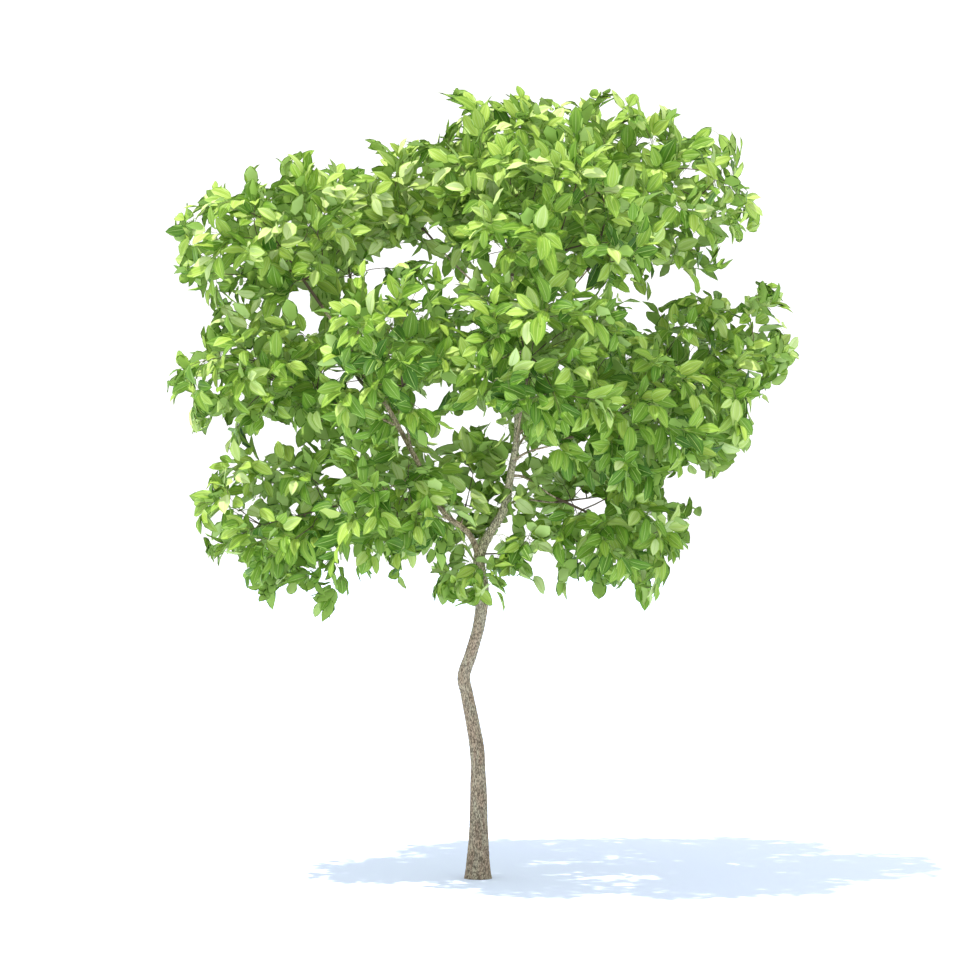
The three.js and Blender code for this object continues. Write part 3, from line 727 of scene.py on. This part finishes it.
def twig_radii(roots, shares):
    """The radius along each shoot: that of a bare twig times a power of the number of twigs that it
    carries from there on, itself included."""
    load = np.ones(len(roots))
    for number in range(len(roots) - 1, 0, -1):
        load[roots[number][0]] += load[number]
    radii = np.ones((len(roots), len(shares)))
    for number, (parent, share) in enumerate(roots):
        if parent >= 0:
            radii[parent] += load[number] * (np.asarray(shares) <= share + TINY)
    bare = np.ones((len(roots), 1)) * (TWIG_RADIUS + (TWIG_END - TWIG_RADIUS) * np.asarray(shares))
    return bare * radii**TWIG_GROWTH


# Thin twig bark: dull brown on last year's wood, and green with a slight sheen on this year's.
TWIG_TONES = [
    new_material(name, Base_Color=linear(tone), Roughness=roughness, Specular_IOR_Level=gloss)[0]
    for name, tone, roughness, gloss in (
        ("brown_twig_bark", "#6B5B4A", 0.8, 0.3),
        ("green_shoot_bark", "#7C8A4A", 0.6, 0.4),
    )
]
YOUNG_SHOOT = 0.0016


def twig_piece(name, shoots, roots):
    """The twigs of a mass: each shoot is a bent, tapering tube, and the thinnest are green."""
    shares = np.linspace(0, 1, TWIG_RINGS)
    radii = twig_radii(roots, shares)
    if name in MASSES:
        radii[0] = np.maximum(radii[0], np.interp(shares, (0, 1), (SIDE_RADII[1], TWIG_RADIUS)))
    thick = radii[..., None] + np.zeros(TWIG_SIDES)
    limbs = [round_limb(bezier(way, shares), size, TWIG_SIDES) for way, size in zip(shoots, thick)]
    faces = tube_faces(TWIG_RINGS, TWIG_SIDES)
    start = np.arange(len(shoots)) * TWIG_RINGS * TWIG_SIDES
    quads = faces[None] + start[:, None, None]
    green = np.repeat(radii[:, 0] < YOUNG_SHOOT, len(faces))
    piece = make_mesh(name + "_twigs", np.stack(limbs), quads, TWIG_TONES, green)
    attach(piece, "root")
    if name in MASSES:
        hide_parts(name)


# Leaves: oval, pointed, folded a little along a pale rib and arched back, on short stalks. They stand
# round each shoot by the golden angle, small and bright at its tip, and turn their faces to the light.
# Each spray is dealt its green, paler near the crown's top and outside as painted light, and a little
# darker to the right as painted shade; each leaf strays from it.
GOLDEN_ANGLE = np.radians(137.5)
LEAF_LENGTH = 0.093
LEAF_WIDTH = 0.56
LEAF_STALK = 0.22
# The rows of a leaf's corners: how far along the blade, and the half-width there as a share of the
# widest. The first row is the foot of the stalk. Then where the corners are across a row, as shares of
# the half-width: rib, side veins and rims. The back has corners on some of the rows only.
LEAF_ROWS = np.array([
    (0, 0.02), (0, 0.03), (0.07, 0.42), (0.20, 0.80), (0.38, 1.0), (0.60, 0.95), (0.82, 0.61), (1, 0.03),
])
VEIN_SIDES = (0.43, 0.53)
HALF_ROW = np.array([0.04, *VEIN_SIDES, 0.83, 1])
COLUMNS = np.concatenate([-HALF_ROW[::-1], HALF_ROW])
BACK_ROWS = [0, 1, 3, 5, 7]
# The blade's form, as shares of its length: the stalk's rise, the veins' height and the rib's depth.
# Then how full a half is, and the rim's waves: their height to the half-width, and their turns.
STALK_RISE = 0.04
VEIN_RISE = 0.018
RIB_DEPTH, RIB_THINS = 0.014, 0.008
FULLNESS = 0.35
RIM_WAVE, WAVES_ALONG, WAVES_APART = 0.16, 7.5, 2.2
ARCHES = (0.10, 0.70)
FOLDS = (5, 25)

# The greens from the palest to the darkest, and how many tones paler than the others some masses show
# from the front, as painted light where the crown shades them; one shows darker, as painted shade.
LEAF_TONES = ["#BBCF88", "#ACC568", "#98B548", "#7EA237", "#68902B", "#517B1F", "#3B6415"]
PALE_TONES = 3
PAINTED_LIGHT_TONES = {
    "inner": 1.8, "low_back_left": 1.5, "low_back_right": 1.4, "spur": 1.6, "mid_back_right": 0.6,
    "mid_back_left": 0.9, "mid_back": 0.8, "top_left_centre": 1.4, "fork_right": 0.8, "fork_left": 0.5,
    "low_right": 0.5, "mid_left": 0.3, "mid_front_left": -0.4,
}
# An apple leaf's waxy skin gives its face and rib a soft, broad sheen. The down on its back makes that
# paler and nearly matt.
WAXY = {"Roughness": 0.5, "Specular_IOR_Level": 0.22}
DOWNY = {"Roughness": 0.7, "Specular_IOR_Level": 0.15}
leaf_tones = [
    new_material("waxy_leaf_green_%d" % k, Base_Color=linear(tone), **WAXY)[0]
    for k, tone in enumerate(LEAF_TONES)
]
leaf_backs = [
    new_material("downy_leaf_back_" + word, Base_Color=linear(tone), **DOWNY)[0]
    for word, tone in (("young", "#B4D07A"), ("old", "#A0C260"))
]
leaf_rib, _, _ = new_material("pale_leaf_rib", Base_Color=linear("#A3BE66"), **WAXY)


def leaf_faces():
    """The faces of one leaf, which part of it each is, the corners that they use and which of those are
    on the rim. Corners are counted by rows from side to side, then one to a row below the rib, where the
    back's two halves meet. Part 0 is the stalk and the rib, part 1 the blade's face, part 2 its back,
    part 3 the side veins and part 4 the rim, which takes a painted shade."""
    rows, across = len(LEAF_ROWS), len(COLUMNS)
    row = np.arange(1, rows - 1)[:, None]
    a = across * row + np.arange(across - 1)
    top = np.stack([a, a + 1, a + across + 1, a + across], axis=-1).reshape(-1, 4)
    rib = across // 2 - 1
    stalk = [[rib, rib + 1, rib + 1 + across, rib + across]]
    stalk += [[rib, rib + across, rows * across + 1, rows * across]]
    stalk += [[rows * across, rows * across + 1, rib + 1 + across, rib + 1]]
    near, far = np.array(BACK_ROWS[1:-1])[:, None], np.array(BACK_ROWS[2:])[:, None]
    under = rows * across
    left = np.hstack([across * near, across * far, under + far, under + near])
    right = np.hstack([under + near, under + far, across * far + across - 1, across * near + across - 1])
    quads = np.vstack([top, stalk, left, right])
    part = np.concatenate([np.tile([4, 1, 3, 1, 0, 1, 3, 1, 4], rows - 2), [0] * 3, [2] * 2 * len(near)])
    used = np.unique(quads)
    rim = (used < under) & np.isin(used % across, (0, across - 1))
    return np.searchsorted(used, quads), part, used, rim


LEAF_QUADS, LEAF_PARTS, LEAF_USED, LEAF_RIM = leaf_faces()


def leaf_corners(root, way, face, length, arch, fold, wave):
    """The corners of many leaves. Along the stalk the middle line is straight, and along the blade it is
    an arc that turns back by the arch. A row is as wide as the outline there, and the fold lifts it away
    from the rib in proportion, less the square for a full, rounded half. The side veins, which run from
    foot to tip, stand out a little, and the rim waves up and down."""
    side = unit(np.cross(way, face))
    face = np.cross(side, way)
    t, outline = LEAF_ROWS.T
    s = COLUMNS
    blade = np.arange(len(t)) > 0
    turned = arch[:, None] * t
    forward = length[:, None] * (LEAF_STALK * blade + np.sin(turned) / arch[:, None])
    rise = length[:, None] * (STALK_RISE * blade - (1 - np.cos(turned)) / arch[:, None])
    half = length[:, None] * LEAF_WIDTH / 2 * outline
    out = half[:, :, None] * s * np.cos(fold)[:, None, None]
    veins = VEIN_RISE * length[:, None, None] * outline[:, None] * np.isin(np.abs(s), VEIN_SIDES)
    ripple = np.sin(WAVES_ALONG * t[:, None] + WAVES_APART * np.sign(s) + wave[:, None, None])
    full = (1 + FULLNESS) * np.abs(s) - FULLNESS * s**2
    lift = half[:, :, None] * np.sin(fold)[:, None, None] * full
    up = rise[:, :, None] + lift + veins + half[:, :, None] * RIM_WAVE * ripple * np.abs(s)
    above = (
        root[:, None, None]
        + forward[:, :, None, None] * way[:, None, None]
        + out[..., None] * side[:, None, None]
        + up[..., None] * face[:, None, None]
    )
    thick = length[:, None] * (RIB_DEPTH - RIB_THINS * t)
    tilt = np.sin(turned)[..., None] * way[:, None] + np.cos(turned)[..., None] * face[:, None]
    rib = len(s) // 2
    below = above[:, :, rib - 1 : rib + 1].mean(axis=2) - thick[..., None] * tilt
    corners = np.concatenate([above.reshape(len(root), -1, 3), below.reshape(len(root), -1, 3)], axis=1)
    return corners[:, LEAF_USED]


# Where a leaf is tested, as shares of its length and half-width. Then how far it keeps from the limbs,
# and may reach over the solids' box and its mass's planes, in metres.
TIP_SPOT, MIDDLE_SPOT, LOW_RIM, LOW_SPOT = 0.95, 0.5, 0.5, 0.4
RIM_SPOT = 0.8
TIP_HANGS = 0.3
LEAF_CLEAR = 0.010
LEAF_OVERHANG = 0.008
LEAF_OVERLAP = 0.03


def fits(name, root, way, face, length, margin, gap_size, inset):
    """Whether each leaf's middle is in its mass, to the margin, and clear of the limbs, and its middle,
    tip and rims are seen neither in the sky nor in front of a bare limb."""
    blade = way * length[:, None]
    across = np.cross(way, face) * (length * LEAF_WIDTH / 2)[:, None]
    middle = root + blade * (MIDDLE_SPOT + LEAF_STALK)
    tip = root + blade * (TIP_SPOT + LEAF_STALK) - face * (TIP_HANGS * length)[:, None]
    rows = (middle, (middle + tip) / 2, root + blade * LOW_RIM)
    rims = [row + aside for row in rows for aside in (across * RIM_SPOT, -across * RIM_SPOT)]
    spots = np.stack([middle, tip, root + blade * LOW_SPOT, *rims], axis=1)
    low, high = (np.array(side) for side in solid_box)
    inside = ((tip > low - LEAF_OVERHANG) & (tip < high + LEAF_OVERHANG)).all(axis=1)
    inside &= clear_of_limbs(middle, LEAF_CLEAR)
    if name in MASSES:
        inside &= in_space(name, middle, margin[:, None], overlap=LEAF_OVERLAP)
    sky = in_sky(spots, gap_size[:, None], inset[:, None])
    return inside & ~(sky | hides_limb(spots)).any(axis=1)


LEAF_SPACING = 0.023
LEAFY_SHARE = 0.8
LEAVES_LEAST, LEAVES_MOST = 5, 8


def leaf_sites(shoots):
    """The places of the leaves on their shoots: even steps back from each tip, as many as the shoot's
    length takes. Returns each leaf's shoot, its number from the tip, its age from 0 to 1, its root and
    the way its shoot runs there."""
    lengths = np.linalg.norm(np.diff(shoots, axis=1), axis=2).sum(axis=1)
    counts = np.clip((lengths / LEAF_SPACING).astype(int) + 1, LEAVES_LEAST, LEAVES_MOST)
    shoot = np.repeat(np.arange(len(shoots)), counts)
    order = np.concatenate([np.arange(count) for count in counts])
    space = np.minimum(LEAF_SPACING, LEAFY_SHARE * lengths / counts)[shoot]
    t = (1 - order * space / lengths[shoot])[:, None]
    a, b, c = (shoots[shoot, k] for k in range(3))
    root = (1 - t) ** 2 * a + 2 * t * (1 - t) * b + t**2 * c
    return shoot, order, order / counts[shoot], root, unit((1 - t) * (b - a) + t * (c - b))


CROWN_MIDDLE = np.array([0.030, 0, 1.850])
CROWN_HALF_SIZES = np.array([1.15, 0.90, 1.10])
CROWN_FOOT, CROWN_HEIGHT = 1.000, 2.000
SHADE_DEPTHS = (0.30, 0.62)
# A leaf's size and how far it leans out from its shoot, by its age. How it droops at the crown's foot
# and lifts at its top. The way out from the crown is flattened, and no shoot runs along the askew one.
YOUNG_SIZE, SIZE_GROWS, SIZES = 0.76, 0.30, (0.84, 1.18)
TIP_LEANS, YOUNG_LEANS, LEAN_GROWS = 0.25, 0.75, 0.35
DROOP, LIFT = -0.60, 0.45
UPWARD, FLATTENED = np.array([0, 0, 1.0]), np.array([1, 1, 0.6])
ASKEW = np.array([0.31, 0.17, 0.93])
# What turns a leaf and its face: its shoot, the light above, the crown, its mass, and chance.
ALONG_WAY, LEAN_TAKES, OUT_WAY, MASS_WAY, CHANCE_WAY = 1.05, 0.6, 0.15, 0.35, 0.18
ALONG_FACE, UP_FACE, OUT_FACE, MASS_FACE, CHANCE_FACE = 0.15, 0.42, 0.45, 0.75, 0.38
# How a leaf keeps to the gaps, the outline and its mass. Strays and tip leaves reach a little over.
STRAYS = 0.08
STRAY_GAPS, GAPS = (0.3, 0.85), (0.62, 0.98)
STRAY_INSET, INSET, INSET_POWER = -0.012, 0.035, 1.5
STRAY_MARGIN, MARGINS = -0.06, (-0.045, 0.010)
LEAF_TRIES = 7
LEAF_TRY_SHRINK = 0.96


def place_leaves(name, shoots, middle, spread):
    """Where the leaves of some shoots round a middle stand. A leaf's way is the sum of its shoot's, a
    lean out round it, the ways out from crown and mass, a droop or lift by its height, and chance; its
    face is such a sum too, made square to its way. A leaf that doesn't fit is turned on round its shoot
    and made smaller, a few times over; one that never fits, or is deep in the crown's shade, is left
    out. Returns the roots, ways, faces, lengths, shoots and ages of the rest."""
    shoot, order, age, root, along = leaf_sites(shoots)
    count = len(root)
    u = unit(np.cross(along, ASKEW))
    v = np.cross(along, u)
    first_angle = GOLDEN_ANGLE * order + spread.uniform(0, 2 * np.pi, len(shoots))[shoot]
    outward = unit((root - CROWN_MIDDLE) * FLATTENED)
    local = unit(root - middle)
    height = (root[:, 2:] - CROWN_FOOT) / CROWN_HEIGHT
    lean = np.where(order == 0, TIP_LEANS, YOUNG_LEANS + LEAN_GROWS * age)[:, None]
    size = LEAF_LENGTH * (YOUNG_SIZE + SIZE_GROWS * np.sqrt(age)) * spread.uniform(*SIZES, count)
    stray = (order == 0) | (spread.random(count) < STRAYS)
    gap_size = np.where(stray, spread.uniform(*STRAY_GAPS, count), spread.uniform(*GAPS, count))
    inset = np.where(stray, STRAY_INSET, (INSET * spread.random(len(shoots)) ** INSET_POWER)[shoot])
    margin = np.where(stray, STRAY_MARGIN, spread.uniform(*MARGINS, count))
    depth = np.linalg.norm((root - CROWN_MIDDLE) / CROWN_HALF_SIZES, axis=1)
    shaded = (spread.random(count) > fading(depth, *SHADE_DEPTHS)) & (name not in ("inner", "spur"))
    ways, faces = np.zeros_like(root), np.zeros_like(root)
    keep = np.zeros(count, bool)
    for attempt in range(LEAF_TRIES):
        angle = first_angle + attempt * GOLDEN_ANGLE / 2
        round_shoot = np.cos(angle)[:, None] * u + np.sin(angle)[:, None] * v
        way = along * (ALONG_WAY - LEAN_TAKES * lean) + round_shoot * lean
        way = way + outward * OUT_WAY + local * MASS_WAY
        way = way + UPWARD * (DROOP + (LIFT - DROOP) * height) + spread.normal(0, CHANCE_WAY, way.shape)
        way = unit(way)
        face = along * ALONG_FACE + UPWARD * UP_FACE + outward * OUT_FACE + local * MASS_FACE
        face = face + spread.normal(0, CHANCE_FACE, way.shape)
        face = unit(face - way * (face * way).sum(axis=1)[:, None])
        fit = fits(name, root, way, face, size, margin, gap_size, inset) & ~keep & ~shaded
        ways[fit], faces[fit] = way[fit], face[fit]
        keep |= fit
        size[~keep] *= LEAF_TRY_SHRINK
    return [x[keep] for x in (root, ways, faces, size, shoot, age)]


# What a leaf's tone is made up of, in tones: painted light that makes it paler up and out, painted shade
# that makes it darker to the right, and the dark of age; the last two are how far it strays by spray and
# by leaf.
USUAL_TONE, PAINTED_LIGHT_UP, PAINTED_LIGHT_OUT, PAINTED_SHADE_RIGHT = 3.9, 0.9, 0.9, 0.1
TONE_REACH = (1.15, 1.05)
DARKER_OLD, USUAL_AGE = 1.3, 0.4
SPRAY_VARIES, LEAF_VARIES = 0.7, 1.15


def deal_tones(name, root, age, shoot, shoots, spread):
    """Each leaf's number in the greens: the usual one, less the painted light of its height, its
    distance out and its mass, plus painted shade that grows to the right and the shares of its age, its
    spray's chance and its own."""
    high = (root[:, 2] - CROWN_FOOT) / CROWN_HEIGHT
    far = np.hypot(root[:, 0] / TONE_REACH[0], (root[:, 2] - CROWN_MIDDLE[2]) / TONE_REACH[1])
    # Painted light makes leaves paler up and out; painted shade makes them darker to the right.
    tone = USUAL_TONE - PAINTED_LIGHT_UP * high - PAINTED_LIGHT_OUT * far + PAINTED_SHADE_RIGHT * root[:, 0]
    tone = tone + spread.normal(0, SPRAY_VARIES, shoots)[shoot] + DARKER_OLD * (age - USUAL_AGE)
    # A mass's painted light, in tones: paler where the crown shades it, darker for one.
    tone = tone - PAINTED_LIGHT_TONES.get(name, 0) + spread.normal(0, LEAF_VARIES, len(root))
    return np.clip(np.round(tone), 0, len(leaf_tones) - 1).astype(int)


def leaf_piece(name, shoots, number, middle):
    """The leaves of some shoots round a middle, with the rims kept sharp. A leaf's veins are a tone
    paler than its face, and its rim is a painted shade a tone darker, or two on the pale ones."""
    spread = np.random.default_rng(FIRST_SEED + number)
    root, way, face, size, shoot, age = place_leaves(name, shoots, middle, spread)
    arch = spread.uniform(*ARCHES, len(root))
    fold = np.radians(spread.uniform(*FOLDS, len(root)))
    wave = spread.uniform(0, 2 * np.pi, len(root))
    corners = leaf_corners(root, way, face, size, arch, fold, wave)
    tone = deal_tones(name, root, age, shoot, len(shoots), spread)
    pale = tone < PALE_TONES
    # The rims are painted shade: a tone darker than the face, or two on the pale leaves.
    veins, rims = np.maximum(tone - 1, 0), np.minimum(tone + 1 + pale, len(leaf_tones) - 1)
    finishes = [leaf_rib, *leaf_backs, *leaf_tones]
    first = len(finishes) - len(leaf_tones)
    parts = np.stack([np.zeros_like(tone), first + tone, 1 + ~pale, first + veins, first + rims])
    start = np.arange(len(root)) * corners.shape[1]
    quads = LEAF_QUADS[None] + start[:, None, None]
    piece = make_mesh(name + "_leaves", corners, quads, finishes, parts[LEAF_PARTS].T)
    mesh = piece.data
    ends = np.zeros(2 * len(mesh.edges), np.int32)
    mesh.edges.foreach_get("vertices", ends)
    rim = LEAF_RIM[ends.reshape(-1, 2) % corners.shape[1]].all(axis=1)
    sharp = mesh.attributes.new("sharp_edge", "BOOLEAN", "EDGE")
    sharp.data.foreach_set("value", rim)
    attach(piece, "root")
    if name in MASSES:
        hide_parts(name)


for number, name in enumerate(NAMES):
    shoots, roots = grow_twigs(name)
    twig_piece(name, shoots, roots)
    leaf_piece(name, shoots, number, MIDDLES[number])

# Fruiting spurs: short side shoots straight on the two boughs, above the fork, each with a rosette of
# leaves. They stand round their bough by the golden angle.
SPUR_HEIGHTS = {"right": (1.28, 1.80), "left": (1.29, 1.84)}
SPUR_SPACING = 0.026
SPUR_LENGTHS = (0.035, 0.085)
SPUR_RISE = 0.5
SPUR_HALF = 0.6
SPUR_SEED = 77


def spur_shoots():
    """The spurs as Bezier lines: each goes out square to its bough's line and bends up."""
    spread = np.random.default_rng(SPUR_SEED)
    spurs = []
    for limb, (low, high) in SPUR_HEIGHTS.items():
        for k, height in enumerate(np.arange(low, high, SPUR_SPACING)):
            foot, along = on_limb(limb, height)
            across = unit(np.cross(along, [0, 1.0, 0]))
            turn = k * GOLDEN_ANGLE
            out = across * np.cos(turn) + np.cross(along, across) * np.sin(turn)
            reach = spread.uniform(*SPUR_LENGTHS)
            bend = foot + out * reach * SPUR_HALF
            spurs.append([foot, bend, bend + unit(out + [0, 0, SPUR_RISE]) * reach * SPUR_HALF])
    return np.array(spurs)


spurs = spur_shoots()
twig_piece("spur", spurs, [(-1, 0.0)] * len(spurs))
leaf_piece("spur", spurs, len(NAMES), CROWN_MIDDLE)
